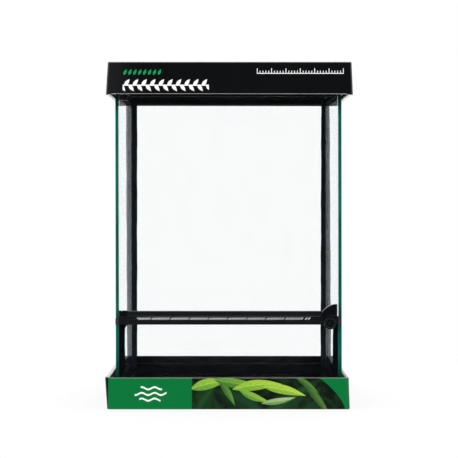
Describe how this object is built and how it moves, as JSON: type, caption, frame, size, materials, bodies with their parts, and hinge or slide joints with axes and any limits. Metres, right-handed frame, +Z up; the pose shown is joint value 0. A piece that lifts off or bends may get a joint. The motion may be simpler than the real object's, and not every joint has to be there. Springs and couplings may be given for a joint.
{
  "type": "front-opening glass terrarium",
  "caption": "Tall glass tank with a side-hinged front door over a slotted ventilation bar, a lift-out screen cover, and a cardboard tray and cap.",
  "frame": {"origin": "centre of the tray's underside, on the ground", "axes": "+Z up; the door and the front of the tank face -Y; +X to the right as seen from the front"},
  "size_m": [0.32, 0.32, 0.46],
  "materials": {
    "tray_board": "glossy laminated print, green and leaf pattern on the front, black elsewhere",
    "cap_board": "glossy laminated print, black",
    "glass": "clear float glass with ground edges",
    "frame_plastic": "moulded, fine satin texture",
    "shutter_plastic": "moulded, satin",
    "screen_plastic": "moulded, satin",
    "bar_plastic": "extruded, satin",
    "handle_plastic": "moulded, semi-gloss",
    "silicone": "tooled black silicone",
    "spline_rubber": "extruded cord",
    "mesh_wire": "woven wire, blackened",
    "pin_steel": "bright"
  },
  "bodies": {
    "tray": {"bottom_tray": "tray_board"},
    "tank": {"bottom_frame": "frame_plastic", "bottom_pane": "glass", "back_pane": "glass", "left_pane": "glass", "right_pane": "glass", "front_lower_pane": "glass", "floor_seal": "silicone", "rear_corner_seals": "silicone", "front_corner_seals": "silicone", "top_frame": "frame_plastic", "vent_bar": "bar_plastic", "lower_hinge_pin": "pin_steel", "upper_hinge_pin": "pin_steel", "lock_screw": "pin_steel"},
    "door": {"door_pane": "glass", "door_rail": "bar_plastic", "door_handle": "handle_plastic", "lower_hinge_leaf": "handle_plastic", "upper_hinge_leaf": "handle_plastic"},
    "lock": {"lock_knob": "handle_plastic"},
    "screen": {"screen_frame": "screen_plastic", "screen_mesh": "mesh_wire", "mesh_spline": "spline_rubber"},
    "left_shutter": {"left_cable_shutter": "shutter_plastic"},
    "right_shutter": {"right_cable_shutter": "shutter_plastic"},
    "cap": {"top_cap": "cap_board"}
  },
  "joints": [
    {"name": "tank_lift", "type": "slide", "parent": "tray", "child": "tank", "axis": [0, 0, 1], "range_m": [0, 0.05]},
    {"name": "door_hinge", "type": "hinge", "parent": "tank", "child": "door", "pos_m": [-0.142, -0.1515, 0.27], "axis": [0, 0, -1], "range_deg": [0, 110]},
    {"name": "lock_turn", "type": "hinge", "parent": "tank", "child": "lock", "pos_m": [0.1346, -0.157, 0.1137], "axis": [0, 1, 0], "range_deg": [0, 90]},
    {"name": "screen_lift", "type": "slide", "parent": "tank", "child": "screen", "axis": [0, 0, 1], "range_m": [0, 0.03]},
    {"name": "cap_lift", "type": "slide", "parent": "screen", "child": "cap", "axis": [0, 0, 1], "range_m": [0, 0.06]},
    {"name": "left_shutter_slide", "type": "slide", "parent": "tank", "child": "left_shutter", "axis": [1, 0, 0], "range_m": [0, 0.03]},
    {"name": "right_shutter_slide", "type": "slide", "parent": "tank", "child": "right_shutter", "axis": [-1, 0, 0], "range_m": [0, 0.03]}
  ]
}
